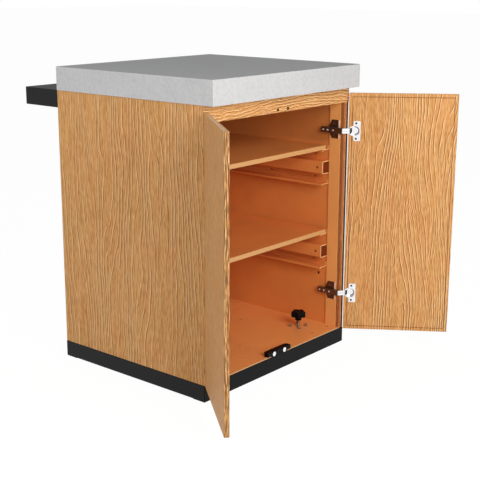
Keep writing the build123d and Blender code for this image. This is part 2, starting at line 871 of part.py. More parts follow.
def hinge_arm(z):
    half = arm_height / 2
    arm = block(arm_face_x, plate_face_x, front_y + arm_front, front_y + arm_back,
                z - half, z + half)
    arm = fillet(arm.faces().sort_by(Axis.X)[0].edges(), arm_corner)
    arm -= block(arm_face_x + arm_web, plate_face_x + cut_overrun,
                 front_y + arm_front - cut_overrun, front_y + arm_back - arm_cheek,
                 z - half + arm_cheek, z + half - arm_cheek)
    for along in arm_screw_from_fronts:
        y = front_y + along
        arm -= bar((arm_face_x - cut_overrun, y, z), (arm_face_x + arm_web + cut_overrun, y, z),
                   arm_screw_radius)
    return arm


# A bent plate from inside the arm, round the door's edge, to an eye on the pin in the cup.
def hinge_knuckle(z):
    tang_x = arm_face_x + arm_web + knuckle_thickness / 2 + seat_gap
    tang_front = front_y + arm_front + knuckle_tang_setback
    corner = (pivot_x - knuckle_corner_from_pivot, pivot_y - knuckle_corner_forward)
    path = FilletPolyline((tang_x, tang_front + knuckle_tang_length), (tang_x, tang_front),
                          corner, (pivot_x, pivot_y), radius=knuckle_bend)
    half = knuckle_height / 2
    plate = stand(trace(path, line_width=knuckle_thickness), z - half, z + half)
    plate += bar((pivot_x, pivot_y, z - half), (pivot_x, pivot_y, z + half), knuckle_eye_radius)
    tang = knuckle_tang_height / 2
    for z0, z1 in ((z - half - cut_overrun, z - tang), (z + tang, z + half + cut_overrun)):
        plate -= block(arm_face_x, plate_face_x, front_y + arm_front - seat_gap,
                       front_y + arm_back, z0, z1)
    return plate - bar((pivot_x, pivot_y, z - half - cut_overrun),
                       (pivot_x, pivot_y, z + half + cut_overrun), pin_radius)


def hinge_pin(z):
    half = cup_neck_half_height + cup_neck_wall
    return bar((pivot_x, pivot_y, z - half), (pivot_x, pivot_y, z + half), pin_radius)


def hinge_screws(z):
    screws = []
    for x, y, hole_z in plate_screw_places(z):
        face = x - hinge_plate_sheet
        head = bar((face - plate_screw_head, y, hole_z), (face, y, hole_z),
                   plate_screw_head_radius)
        shank = bar((face - plate_screw_head / 2, y, hole_z),
                    (face + plate_screw_length, y, hole_z), plate_screw_radius)
        screws.append(head + shank)
    for along in arm_screw_from_fronts:
        y = front_y + along
        screws.append(bar((arm_face_x - arm_screw_head, y, z),
                          (arm_face_x + arm_web, y, z), arm_screw_radius))
    return group(screws)


for maker, node in ((hinge_plate, "hinge_plates"), (hinge_arm, "hinge_arms"),
                    (hinge_knuckle, "hinge_knuckles"), (hinge_pin, "hinge_pins"),
                    (hinge_screws, "hinge_screws")):
    right_side = [maker(z) for z in hinge_heights]
    save(group(right_side + [other_side(piece) for piece in right_side]), node)


# Magnetic catch: a block on the floor's edge with a lip over the plinth and two magnets.
catch_front = front_y - catch_proud
magnet_z = floor_top + catch_magnet_rise


def catch_body():
    half = catch_length / 2
    body = block(-half, half, catch_front, catch_front + catch_depth, floor_top,
                 floor_top + catch_height)
    rear_edges = body.faces().sort_by(Axis.Y)[-1].edges().filter_by(Axis.Z)
    body = chamfer(rear_edges, catch_corner)
    lip_half = catch_magnet_spacing / 2 + catch_magnet_radius + catch_corner
    body += block(-lip_half, lip_half, catch_front, front_y, floor_top - catch_lip_drop,
                  floor_top + cut_overrun)
    for side in (-1, 1):
        x = side * catch_magnet_spacing / 2
        body -= bar((x, catch_front - cut_overrun, magnet_z), (x, front_y, magnet_z),
                    catch_magnet_radius)
    return body


def catch_magnets():
    magnets = []
    for side in (-1, 1):
        x = side * catch_magnet_spacing / 2
        magnets.append(bar((x, catch_front - catch_magnet_proud, magnet_z),
                           (x, front_y, magnet_z), catch_magnet_radius))
    return group(magnets)


save(catch_body(), "catch_body")
save(catch_magnets(), "catch_magnets")


# Levellers: a threaded plate under the floor, four bolts with nuts, a foot, a spindle and
# a star knob inside the cabinet.
plate_bottom = plinth_height - leveller_plate_thickness
foot_bottom = foot_clearance
spindle_bottom = foot_bottom + foot_floor
knob_bottom = floor_top + knob_rise
lobes_bottom = knob_bottom + knob_hub_height
knob_top = lobes_bottom + knob_lobe_height


def leveller_plate(x, y):
    half = leveller_plate_size / 2
    plate = block(x - half, x + half, y - half, y + half, plate_bottom, plinth_height)
    plate += bar((x, y, plate_bottom - leveller_boss_height), (x, y, plinth_height),
                 leveller_boss_radius)
    plate -= bar((x, y, 0), (x, y, plinth_height + cut_overrun), spindle_radius + running_gap)
    for dx, dy in bolt_steps:
        plate -= bar((x + dx, y + dy, plate_bottom - cut_overrun),
                     (x + dx, y + dy, plinth_height + cut_overrun), leveller_bolt_radius)
    return plate


def leveller_bolts(x, y):
    bolts = []
    for dx, dy in bolt_steps:
        place = Pos(x + dx, y + dy, floor_top)
        nut = place * extrude(RegularPolygon(leveller_nut_across / 2, 6, major_radius=False),
                              amount=leveller_nut_height)
        shank = bar((x + dx, y + dy, plate_bottom - leveller_bolt_head / 2),
                    (x + dx, y + dy, floor_top + leveller_bolt_end), leveller_bolt_radius)
        head = bar((x + dx, y + dy, plate_bottom - leveller_bolt_head),
                   (x + dx, y + dy, plate_bottom), leveller_bolt_head_radius)
        bolts.append(nut + shank + head)
    return bolts


def leveller_foot(x, y):
    disc_top = foot_bottom + foot_disc
    disc = bar((x, y, foot_bottom), (x, y, disc_top), foot_radius)
    disc = fillet(disc.edges().sort_by(Axis.Z)[-1], foot_edge_radius)
    foot = disc + bar((x, y, foot_bottom + foot_disc / 2), (x, y, disc_top + foot_boss_height),
                      foot_boss_radius)
    return foot - bar((x, y, spindle_bottom), (x, y, disc_top + foot_boss_height + cut_overrun),
                      spindle_radius + running_gap)


def leveller_spindle(x, y):
    return bar((x, y, spindle_bottom + fit_gap), (x, y, knob_top - knob_cap_thickness),
               spindle_radius)


def leveller_knob(x, y):
    outline = Circle(knob_core_radius)
    reach = knob_radius - knob_lobe_radius
    for index in range(knob_lobes):
        turn = math.radians(index * 360 / knob_lobes)
        outline += Pos(reach * math.cos(turn), reach * math.sin(turn)) * Circle(knob_lobe_radius)
    star = extrude(outline, amount=knob_lobe_height)
    star = fillet(star.faces().sort_by(Axis.Z)[-1].edges(), knob_edge_radius)
    star = fillet(star.faces().sort_by(Axis.Z)[0].edges(), knob_edge_radius)
    knob = Pos(x, y, lobes_bottom) * star
    knob += bar((x, y, knob_bottom), (x, y, lobes_bottom + knob_edge_radius), knob_hub_radius)
    return knob - bar((x, y, knob_bottom - cut_overrun), (x, y, knob_top - knob_cap_thickness),
                      spindle_radius)


save(group([leveller_plate(x, y) for x, y in leveller_places]), "leveller_plates")
all_bolts = []
for x, y in leveller_places:
    all_bolts.extend(leveller_bolts(x, y))
save(group(all_bolts), "leveller_bolts")
for x, y in leveller_places:
    place_name = ("front" if y < 0 else "rear") + ("_left" if x < 0 else "_right")
    save(leveller_foot(x, y), "foot_" + place_name)
    save(leveller_spindle(x, y), "spindle_" + place_name)
    save(leveller_knob(x, y), "knob_" + place_name)

print("door pivot", pivot_x, pivot_y, "hinge heights", hinge_heights)
print("nodes", len(os.listdir("parts")))
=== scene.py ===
import bpy
import json
import math
import numpy as np
from mathutils import Euler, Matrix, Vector


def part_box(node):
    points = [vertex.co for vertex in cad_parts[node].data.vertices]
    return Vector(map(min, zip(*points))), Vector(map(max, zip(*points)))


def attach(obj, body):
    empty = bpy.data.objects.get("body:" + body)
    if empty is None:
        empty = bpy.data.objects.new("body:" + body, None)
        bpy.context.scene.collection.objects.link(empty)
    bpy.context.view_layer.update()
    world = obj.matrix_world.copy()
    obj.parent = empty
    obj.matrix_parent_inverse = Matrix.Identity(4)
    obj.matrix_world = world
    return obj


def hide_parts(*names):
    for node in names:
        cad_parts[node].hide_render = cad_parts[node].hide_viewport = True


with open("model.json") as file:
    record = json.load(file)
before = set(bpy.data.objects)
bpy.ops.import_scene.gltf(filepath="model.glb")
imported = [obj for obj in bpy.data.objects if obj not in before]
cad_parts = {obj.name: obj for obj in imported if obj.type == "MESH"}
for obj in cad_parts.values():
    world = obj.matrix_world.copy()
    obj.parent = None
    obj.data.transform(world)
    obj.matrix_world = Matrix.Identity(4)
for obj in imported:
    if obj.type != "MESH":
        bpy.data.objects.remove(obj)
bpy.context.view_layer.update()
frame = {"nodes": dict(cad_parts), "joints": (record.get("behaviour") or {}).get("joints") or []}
nodes = frame["nodes"]
hinges = {joint["name"]: joint for joint in frame["joints"] if joint["type"] == "hinge"}
scene = bpy.context.scene
print("frame loaded", len(nodes), "nodes")


# A node's points, one row each
def pointsOf(name):
    mesh = nodes[name].data
    points = np.empty(len(mesh.vertices) * 3)
    mesh.vertices.foreach_get("co", points)
    return points.reshape(-1, 3)


# Lowest and highest distance of a node's points along a direction
def reach(name, direction):
    along = pointsOf(name) @ np.array(direction, float)
    return float(along.min()), float(along.max())


# Camera, as solved from the cabinet's own edges in the photograph. The settings of a piece stand
# in a dictionary beside its code, and its function calls them its.
cameraSet = {
    "place": (-2.3270, -2.0926, 1.1557),
    "turn": (75.6874, 0.1755, -49.9330),  # degrees, roll in the middle value
    "lens": 77.347,
    "filmWidth": 36.0,
}


# The camera turns to its heading about the vertical, then pitches, then rolls about its sight.
def addCamera(its):
    data = bpy.data.cameras.new("camera")
    data.lens = its["lens"]
    data.sensor_width = its["filmWidth"]
    cam = bpy.data.objects.new("camera", data)
    cam.location = its["place"]
    pitch, roll, heading = (math.radians(angle) for angle in its["turn"])
    cam.rotation_mode = "QUATERNION"
    view = Euler((pitch, 0, heading)).to_quaternion()
    cam.rotation_quaternion = view @ Euler((0, 0, roll)).to_quaternion()
    scene.collection.objects.link(cam)
    scene.camera = cam


lightSet = {
    "skyLevel": 0.25,
    "skySeen": 0.50,
    "lamps": [
        # name, place, aim, size, power, colour
        ("frontPanel", (-1.2, -3.1, 1.75), (0, 0, 0.45), 1.8, 84, (1, 0.99, 0.97)),
        ("sidePanel", (-2.9, 0.95, 1.9), (0, 0, 0.45), 1.8, 24, (1, 1, 1)),
        ("topPanel", (0.2, 0.5, 3.6), (0, 0, 0.4), 2.4, 18, (1, 1, 1)),
    ],
}


# Square lamps, each turned to its aim
def addLamps(its):
    for name, place, aim, size, power, colour in its["lamps"]:
        data = bpy.data.lights.new(name, "AREA")
        data.shape = "SQUARE"
        data.size = size
        data.energy = power
        data.color = colour
        lamp = bpy.data.objects.new(name, data)
        lamp.location = place
        lamp.rotation_euler = (Vector(aim) - Vector(place)).to_track_quat("-Z", "Y").to_euler()
        scene.collection.objects.link(lamp)


# A node's output, on which + - * / and ** add Math nodes
class Wire:
    def __init__(self, finish, socket):
        self.finish = finish
        self.socket = socket

    # Math node with this output as its first input
    def maths(self, operation, *others, clamp=False):
        node = self.finish.tree.nodes.new("ShaderNodeMath")
        node.operation = operation
        node.use_clamp = clamp
        for slot, value in enumerate((self,) + others):
            self.finish.feed(node.inputs[slot], value)
        return Wire(self.finish, node.outputs[0])

    # The same with this output as the second input
    def swapped(self, operation, other):
        node = self.finish.tree.nodes.new("ShaderNodeMath")
        node.operation = operation
        self.finish.feed(node.inputs[0], other)
        self.finish.feed(node.inputs[1], self)
        return Wire(self.finish, node.outputs[0])

    def __add__(self, other):
        return self.maths("ADD", other)

    def __radd__(self, other):
        return self.maths("ADD", other)

    def __sub__(self, other):
        return self.maths("SUBTRACT", other)

    def __rsub__(self, other):
        return self.swapped("SUBTRACT", other)

    def __mul__(self, other):
        return self.maths("MULTIPLY", other)

    def __rmul__(self, other):
        return self.maths("MULTIPLY", other)

    def __truediv__(self, other):
        return self.maths("DIVIDE", other)

    def __pow__(self, other):
        return self.maths("POWER", other)

    def clamped(self):
        return self.maths("ADD", 0.0, clamp=True)

    # Its value without its sign
    def size(self):
        return self.maths("ABSOLUTE")

    def least(self, other):
        return self.maths("MINIMUM", other)

    def most(self, other):
        return self.maths("MAXIMUM", other)

    # Its sine
    def wave(self):
        return self.maths("SINE")

    # Its fraction above the whole number below it
    def part(self):
        return self.maths("FRACT")

    # 0 below low, 1 above high, smooth between
    def step(self, low, high):
        node = self.finish.add("ShaderNodeMapRange", {"interpolation_type": "SMOOTHSTEP"},
                               {"Value": self, "From Min": low, "From Max": high})
        return Wire(self.finish, node.outputs["Result"])

    # 1 beyond an edge and 0 before it, or the other way round, soft over a distance after it
    def over(self, edge, soft):
        return self.step(edge, edge + soft)

    def under(self, edge, soft):
        return 1.0 - self.step(edge, edge + soft)


# One material and the nodes that make it
class Finish:
    def __init__(self, name, **fixed):
        self.material = bpy.data.materials.new(name)
        self.material.use_nodes = True
        self.tree = self.material.node_tree
        self.tree.nodes.clear()
        self.output = self.tree.nodes.new("ShaderNodeOutputMaterial")
        self.shader = self.tree.nodes.new("ShaderNodeBsdfPrincipled")
        self.tree.links.new(self.shader.outputs[0], self.output.inputs[0])
        self.set(**fixed)

    # Link an output to a socket, or set a fixed value on it.
    def feed(self, socket, value):
        if isinstance(value, Wire):
            self.tree.links.new(value.socket, socket)
        elif isinstance(value, bpy.types.NodeSocket):
            self.tree.links.new(value, socket)
        elif hasattr(value, "__len__") and len(value) == 3 and socket.type == "RGBA":
            socket.default_value = (*value, 1)
        else:
            socket.default_value = value

    # Feed the shader's inputs, named with _ for each space.
    def set(self, **inputs):
        for name, value in inputs.items():
            self.feed(self.shader.inputs[name.replace("_", " ")], value)

    # New node; stops in its settings are the places and colours of a ramp.
    def add(self, kind, settings=None, inputs=None):
        node = self.tree.nodes.new(kind)
        for name, value in (settings or {}).items():
            if name == "stops":
                ramp = node.color_ramp
                while len(ramp.elements) < len(value):
                    ramp.elements.new(1)
                for element, (place, colour) in zip(ramp.elements, value):
                    element.position = place
                    element.color = (*colour, 1)
            else:
                setattr(node, name, value)
        for name, value in (inputs or {}).items():
            self.feed(node.inputs[name], value)
        return node

    # Place on a piece, which for the CAD's own nodes is the place in the frame
    def place(self):
        return self.add("ShaderNodeTexCoord").outputs["Object"]

    # That place as x, y and z
    def axes(self):
        parts = self.add("ShaderNodeSeparateXYZ", None, {0: self.place()})
        return [Wire(self, parts.outputs[i]) for i in range(3)]

    def point(self, x, y, z):
        return self.add("ShaderNodeCombineXYZ", None, {0: x, 1: y, 2: z}).outputs[0]

    # Noise from 0 to 1, with scale changes a metre
    def noise(self, at, scale=1.0, detail=2.0, rough=0.5):
        node = self.add("ShaderNodeTexNoise", None,
                        {"Vector": at, "Scale": scale, "Detail": detail, "Roughness": rough})
        return Wire(self, node.outputs["Fac"])

    # Distance from the nearest of random points, scale of them to a metre
    def cells(self, at, scale):
        node = self.add("ShaderNodeTexVoronoi", None, {"Vector": at, "Scale": scale})
        return Wire(self, node.outputs["Distance"])

    # Mix of two colours; a Mix node's colour sockets come after those of its other data types.
    def blend(self, amount, first, second, how="MIX"):
        node = self.add("ShaderNodeMix", {"data_type": "RGBA", "blend_type": how},
                        {"Factor": amount, 6: first, 7: second})
        return node.outputs[2]

    # Bend the normal by the slope of a height, which is depth metres for a height of 1.
    def bump(self, height, depth, strength):
        node = self.add("ShaderNodeBump", None,
                        {"Height": height, "Distance": depth, "Strength": strength})
        self.feed(self.shader.inputs["Normal"], node.outputs["Normal"])


# Put one finish on whole CAD nodes.
def paint(finish, *names):
    for name in names:
        slots = nodes[name].data.materials
        slots.clear()
        slots.append(finish.material)


floorSet = {"half": 30.0, "colour": (0.78, 0.78, 0.78), "roughness": 0.9, "ownLight": 0.94,
            "glow": 1.03}


# Floor: grey paint in the light, and nearly white to the camera and in reflections.
def addFloor(its):
    half = its["half"]
    mesh = bpy.data.meshes.new("floor")
    mesh.from_pydata([(-half, -half, 0), (half, -half, 0), (half, half, 0), (-half, half, 0)],
                     [], [(0, 1, 2, 3)])
    floor = bpy.data.objects.new("floor", mesh)
    scene.collection.objects.link(floor)
    finish = Finish("floorPaint", Base_Color=its["colour"], Roughness=its["roughness"])
    rays = finish.add("ShaderNodeLightPath")
    seen = Wire(finish, rays.outputs["Is Camera Ray"])
    glossy = Wire(finish, rays.outputs["Is Glossy Ray"])
    glow = finish.add("ShaderNodeEmission", None, {"Color": (1, 1, 1), "Strength": its["glow"]})
    blend = finish.add("ShaderNodeMixShader", None,
                       {0: seen.most(glossy) * its["ownLight"],
                        1: finish.shader.outputs[0], 2: glow.outputs[0]})
    finish.tree.links.new(blend.outputs[0], finish.output.inputs[0])
    mesh.materials.append(finish.material)


# The sky is white to the camera, dimmer in reflections and dimmest as light.
def addSky(its):
    world = bpy.data.worlds.new("sky")
    scene.world = world
    world.use_nodes = True
    tree = world.node_tree
    tree.nodes.clear()
    out = tree.nodes.new("ShaderNodeOutputWorld")
    back = tree.nodes.new("ShaderNodeBackground")
    rays = tree.nodes.new("ShaderNodeLightPath")
    tree.links.new(back.outputs[0], out.inputs[0])
    level = its["skyLevel"]
    for ray, seen in (("Is Glossy Ray", its["skySeen"]), ("Is Camera Ray", 1.0)):
        mix = tree.nodes.new("ShaderNodeMix")
        tree.links.new(rays.outputs[ray], mix.inputs[0])
        if isinstance(level, float):
            mix.inputs[2].default_value = level
        else:
            tree.links.new(level, mix.inputs[2])
        mix.inputs[3].default_value = seen
        level = mix.outputs[0]
    tree.links.new(level, back.inputs["Strength"])
    back.inputs["Color"].default_value = (1, 1, 1, 1)


scene.view_settings.view_transform = "Standard"
addCamera(cameraSet)
addLamps(lightSet)
addSky(lightSet)
addFloor(floorSet)
print("camera, lamps and floor done")

# Wood-grain sheet: pale embossed lines with a dark groove beside each, and short pores. Lines
# and changes are per metre, bends and sways in turns, and lengths in metres.
oakSet = {
    "stops": [(0.0, (0.33, 0.125, 0.034)), (0.34, (0.585, 0.272, 0.084)),
              (0.5, (0.700, 0.362, 0.126)), (0.68, (0.805, 0.452, 0.182)),
              (1.0, (0.98, 0.66, 0.34))],
    "linesPerMetre": 84.0,
    "leastSlope": 22.0, "slopeFade": (0.5, 1.8),  # the fade as shares of the least slope
    "nudge": 0.0006,
    "bendTurns": 14.0, "swayTurns": 1.6,
    "lineAway": 0.0011, "lineHalf": 0.0015,
    # the finer lines between the bold ones
    "fineAcross": 1.9, "fineAlong": 2.4, "fineFlick": 1.5, "fineSeed": 21,
    "fineAway": 0.0026, "fineHalf": 0.0030, "fineForce": 0.55, "fineHidden": 0.5,
    "flickReach": 0.004,
    # noises: changes a metre across and along, seed step, detail, roughness, ends of a step
    "bend": (10.0, 1.25, 0, 1.0, 0.5, None),
    "sway": (26.0, 5.0, 3, 1.0, 0.5, None),
    "pores": (330.0, 46.0, 5, 1.0, 0.5, None),
    "flick": (40.0, 30.0, 7, 2.0, 0.6, None),
    "streaks": (130.0, 9.0, 9, 2.0, 0.5, None),
    "where": (13.0, 2.2, 11, 1.0, 0.5, (0.32, 0.58)),
    "broad": (3.0, 1.2, 13, 2.0, 0.5, None),
    "broken": (60.0, 20.0, 17, 1.0, 0.5, (0.30, 0.50)),
    "tint": (26.0, 9.0, 19, 3.0, 0.6, (0.42, 0.62)),
    "patchy": (22.0, 6.0, 31, 1.0, 0.5, (0.36, 0.62)),
    "poreStep": (0.34, 0.66),
    "whereLeast": 0.25, "brokenLeast": 0.45,
    "tone": {"streaks": 0.40, "pores": 0.20, "broad": 0.2, "pale": 0.56, "groove": 0.52},
    "relief": {"streaks": 0.5, "pores": 0.2, "pale": 0.7, "groove": 0.9},
    "tintShare": 0.30, "tintColour": (1.05, 0.89, 0.90),
    "shine": 0.16, "roughness": 0.50, "grooveRough": 0.12,
    "emboss": 0.0005, "embossForce": 0.8,
    # how far painted shade darkens the grain along a door's folded line
    "foldShadeAmount": 0.50,
    # colour of painted shade on the skins' outer corners and on the doors' free edges
    "dark": (0.085, 0.026, 0.009),
}


# One noise of the grain, from its row of the settings
def grainNoise(finish, its, kind, across, along, seed):
    wide, length, seedStep, detail, rough, ends = its[kind]
    at = finish.point(across * wide, along * length, seed + seedStep)
    noise = finish.noise(at, 1.0, detail, rough)
    return noise.step(*ends) if ends else noise


# Signed distance across from the nearest growth line, and its strength: the lines are where the
# fraction of rising turns passes its middle, dividing by the slope of the turns keeps them
# equally wide, and where the turns hardly rise there is no line.
def growthLines(finish, sideways, lengthways, seed, its, dense, wavy, loops):
    def turns(across):
        bend = grainNoise(finish, its, "bend", across, lengthways, seed)
        sway = grainNoise(finish, its, "sway", across, lengthways, seed)
        return (across * (its["linesPerMetre"] * dense) + bend * (its["bendTurns"] * dense * loops)
                + sway * (its["swayTurns"] * wavy))
    here = turns(sideways)
    least = its["leastSlope"]
    slope = (turns(sideways + its["nudge"]) - here) * (1 / its["nudge"])
    away = (here.part() - 0.5) * slope / (slope * slope + least ** 2)
    return away, slope.size().step(*(least * share for share in its["slopeFade"]))


# A bump of 1 at a place, 0 beyond half a width from it; core is the share of the half that is 1.
def ridge(away, place, half, core=0.3):
    return 1.0 - (away - place).size().step(half * core, half)


# Grain: tone and height are sums of its noises, pale lines and grooves, each with its own weight.
# It is drawn across a direction; across and along are weights on x, y and z. foldShade gives how
# far painted shade darkens the tone along a folded line, and marks are pairs of a share function
# and a colour laid on the grain, most of them painted shade or a painted highlight.
def oakSheet(name, across, along, seed, its=oakSet, foldShade=None, marks=(),
             bold=1.0, dense=1.0, wavy=1.0, loops=1.0):
    finish = Finish(name, Specular_IOR_Level=its["shine"])
    xyz = finish.axes()
    sideways = sum((weight * axis for weight, axis in zip(across, xyz) if weight), 0.0)
    lengthways = sum((weight * axis for weight, axis in zip(along, xyz) if weight), 0.0)
    shift = sideways + seed

    def layer(kind):
        return grainNoise(finish, its, kind, shift, lengthways, seed)

    flick = layer("flick") * its["flickReach"]
    away, sharp = growthLines(finish, shift + flick, lengthways, seed, its, dense, wavy, loops)
    fineShift = shift * its["fineAcross"] + flick * its["fineFlick"]
    fine, fineSharp = growthLines(finish, fineShift, lengthways * its["fineAlong"],
                                  seed + its["fineSeed"], its, dense, wavy, loops)
    where = layer("where")
    force = ((where * (1 - its["whereLeast"]) + its["whereLeast"])
             * (layer("broken") * (1 - its["brokenLeast"]) + its["brokenLeast"]) * sharp * bold)
    lesser = ((1.0 - where * its["fineHidden"]) * layer("patchy") * fineSharp
              * (its["fineForce"] * bold))
    pale = (ridge(away, its["lineAway"], its["lineHalf"]) * force
            + ridge(fine, its["fineAway"], its["fineHalf"]) * lesser)
    groove = (ridge(away, -its["lineAway"], its["lineHalf"]) * force
              + ridge(fine, -its["fineAway"], its["fineHalf"]) * lesser)
    pores = layer("pores")
    streaks = layer("streaks")
    weights = its["tone"]
    tone = ((streaks - 0.5) * weights["streaks"]
            + (pores.step(*its["poreStep"]) - 0.5) * weights["pores"]
            + (layer("broad") - 0.5) * weights["broad"]
            + pale * weights["pale"] - groove * weights["groove"] + 0.5)
    # Painted shade along a door's folded line
    if foldShade:
        tone = tone - foldShade(xyz) * its["foldShadeAmount"]
    ramp = finish.add("ShaderNodeValToRGB", {"stops": its["stops"]}, {"Fac": tone})
    colour = finish.blend(layer("tint") * its["tintShare"], ramp.outputs[0],
                          finish.blend(1.0, ramp.outputs[0], its["tintColour"], "MULTIPLY"))
    for share, tint in marks:
        colour = finish.blend(share(finish, xyz), colour, tint)
    weights = its["relief"]
    height = (pale * weights["pale"] - groove * weights["groove"] + streaks * weights["streaks"]
              + pores * weights["pores"])
    finish.set(Base_Color=colour, Roughness=its["roughness"] + groove * its["grooveRough"])
    finish.bump(height, its["emboss"], its["embossForce"])
    return finish


concreteSet = {
    "rim": (0.665, 0.672, 0.680),
    "speck": (0.36, 0.365, 0.37),
    "top": (0.266, 0.268, 0.271), "topLight": 1.35,
    # topFade places the painted sheen on the top
    "topFade": (-0.05, -0.42, 0.28),  # from and to along x, and the most it lightens
    "topHeight": 0.8992, "topSoft": 0.0007,
    # noises: changes a metre, detail, roughness
    "cloud": (16.0, 4.0, 0.65),
    "mottle": (95.0, 3.0, 0.65),
    "grit": (300.0, 2.0, 0.6),
    "specks": (210.0, 1.0, 0.5),
    "speckStep": (0.60, 0.70), "gritStep": (0.35, 0.7),
    "pitCells": 44.0, "pitStep": (0.07, 0.13), "pitWhere": (0.42, 0.60), "pitShare": 0.30,
    # level above which a noise shows, and its share
    "cloudStain": (0.35, 0.34), "mottleStain": (0.42, 0.75), "speckShare": 0.16,
    "topGrit": 0.35, "topCloud": 0.5,
    "roughness": 0.62, "topSmooth": 0.22, "gritRough": 0.08,
    "shine": 0.3, "relief": 0.0005, "gritHigh": 0.6, "pitDeep": 0.9, "reliefForce": 0.5,
}


# Worktop: a pale rim, stained where noises pass their levels and pitted near the middles of some
# cells, and a darker satin top with a painted sheen that lightens it towards one end.
def concrete(its=concreteSet):
    finish = Finish("fineConcrete", Specular_IOR_Level=its["shine"])
    at = finish.place()
    x, _, z = finish.axes()
    cloud, mottle, grit, specks = (finish.noise(at, *its[kind])
                                   for kind in ("cloud", "mottle", "grit", "specks"))
    pits = ((1.0 - finish.cells(at, its["pitCells"]).step(*its["pitStep"]))
            * cloud.step(*its["pitWhere"]))
    cloudLevel, cloudShare = its["cloudStain"]
    mottleLevel, mottleShare = its["mottleStain"]
    stain = ((cloud - cloudLevel).clamped() * cloudShare
             + (mottle - mottleLevel).clamped() * mottleShare
             + specks.step(*its["speckStep"]) * its["speckShare"])
    rim = finish.blend((stain + pits * its["pitShare"]).clamped(), its["rim"], its["speck"])
    # Painted sheen: the top is lighter towards its left end.
    start, end, most = its["topFade"]
    paintedSheen = ((x - start) * (1 / (end - start))).clamped() * most
    lightTop = tuple(part * its["topLight"] for part in its["top"])
    top = finish.blend((grit.step(*its["gritStep"]) * its["topGrit"] + cloud * its["topCloud"]
                        + paintedSheen).clamped(), its["top"], lightTop)
    isTop = z.over(its["topHeight"], its["topSoft"])
    finish.set(Base_Color=finish.blend(isTop, rim, top),
               Roughness=its["roughness"] - isTop * its["topSmooth"] + grit * its["gritRough"])
    height = (grit * its["gritHigh"] + mottle * its["gritHigh"]
              - pits * its["pitDeep"] * (1.0 - isTop))
    finish.bump(height, its["relief"], its["reliefForce"])
    return finish


orange = (0.79, 0.278, 0.073)
coatSet = {
    # patches: changes a metre, detail, roughness
    "vary": 0.07, "patches": (9.0, 2.0, 0.5), "patchStep": (0.3, 0.7), "patchShare": 0.6,
    "peelShare": 0.4, "patchRough": 0.06, "peelForce": 0.4,
    # painted highlight on folded front edges: its colour, depth and fade
    "edge": (0.68, 0.362, 0.137), "edgeDepth": 0.0009, "edgeFade": 0.6,
    # colours of painted shade in hollows, and of darker painted shade in holes
    "shade": (0.32, 0.015, 0.003), "dark": (0.06, 0.010, 0.004),
    # colour, roughness, changes a metre and depth of the peel, shine
    "liner": (orange, 0.46, 900.0, 0.00025, 0.25),
    # the stiles' paler orange is a lit copy of the liners' coat: painted light
    "stile": ((0.92, 0.42, 0.13), 0.46, 900.0, 0.00025, 0.25),
    # the floor's brighter orange is a lit copy of the coat: painted light; its gloss is real
    "floor": ((0.95, 0.39, 0.118), 0.25, 900.0, 0.00025, 0.7),
    "shelf": (orange, 0.34, 900.0, 0.00025, 0.35),
    "black": ((0.0125, 0.013, 0.0135), 0.42, 700.0, 0.0003, 0.14),
    # the front plinth's darker black is a shaded copy of the black coat: painted shade
    "shadedBlack": ((0.0100, 0.0105, 0.0112), 0.42, 700.0, 0.0003, 0.06),
    "plastic": ((0.0045, 0.0045, 0.0045), 0.40, 1200.0, 0.00015, 0.07),
}
# Lips and channels: a wider, paler painted highlight on their front edges
sheetEdgeHighlight = {**coatSet, "edge": (0.90, 0.55, 0.23), "edgeDepth": 0.0018}


# Coated sheet or plastic, with a fine peel. front is a y place before which a folded edge gets a
# painted highlight, and hollow gives each point's shares of painted shade and of darker painted
# shade, as in holes.
def powderCoat(name, kind, front=None, hollow=None, its=coatSet):
    colour, roughness, grain, depth, shine = its[kind]
    finish = Finish(name, Specular_IOR_Level=shine)
    at = finish.place()
    peel = finish.noise(at, grain)
    patch = finish.noise(at, *its["patches"])
    deep = tuple(part * (1 - its["vary"]) for part in colour)
    light = tuple(min(1, part * (1 + its["vary"])) for part in colour)
    coat = finish.blend(patch.step(*its["patchStep"]) * its["patchShare"] + peel * its["peelShare"],
                        deep, light)
    # Painted highlight on the folded front edge
    if front is not None:
        edge = its["edgeDepth"]
        near = 1.0 - finish.axes()[1].step(front + edge * its["edgeFade"], front + edge)
        coat = finish.blend(near, coat, its["edge"])
    # Painted shade in hollows and holes
    if hollow:
        shaded, hole = hollow(finish)
        coat = finish.blend(hole, finish.blend(shaded, coat, its["shade"]), its["dark"])
    finish.set(Base_Color=coat, Roughness=patch * its["patchRough"] + roughness)
    finish.bump(peel, depth, its["peelForce"])
    return finish


metalSet = {
    # scratches and patches: changes a metre, detail, roughness
    "scratches": (300.0, 3.0, 0.6), "patches": (40.0, 2.0, 0.5), "scratchRough": 0.12,
    # hollow is the dark of the painted shade in the cups, also used for the knuckles' line
    "bright": (0.95, 0.90, 0.86), "brightMatt": 0.7, "hollow": (0.010, 0.009, 0.009),
    # colour, roughness, share by which the colour varies
    "nickel": ((0.93, 0.93, 0.94), 0.16, 0.05),
    "cup": ((0.93, 0.93, 0.94), 0.20, 0.05),
    "arm": ((0.30, 0.25, 0.21), 0.34, 0.35),
    "plate": ((0.25, 0.20, 0.165), 0.36, 0.35),
    "screw": ((0.40, 0.30, 0.23), 0.34, 0.2),
    "zinc": ((0.40, 0.34, 0.30), 0.34, 0.12),
    "disc": ((0.96, 0.96, 0.97), 0.30, 0.03),
}


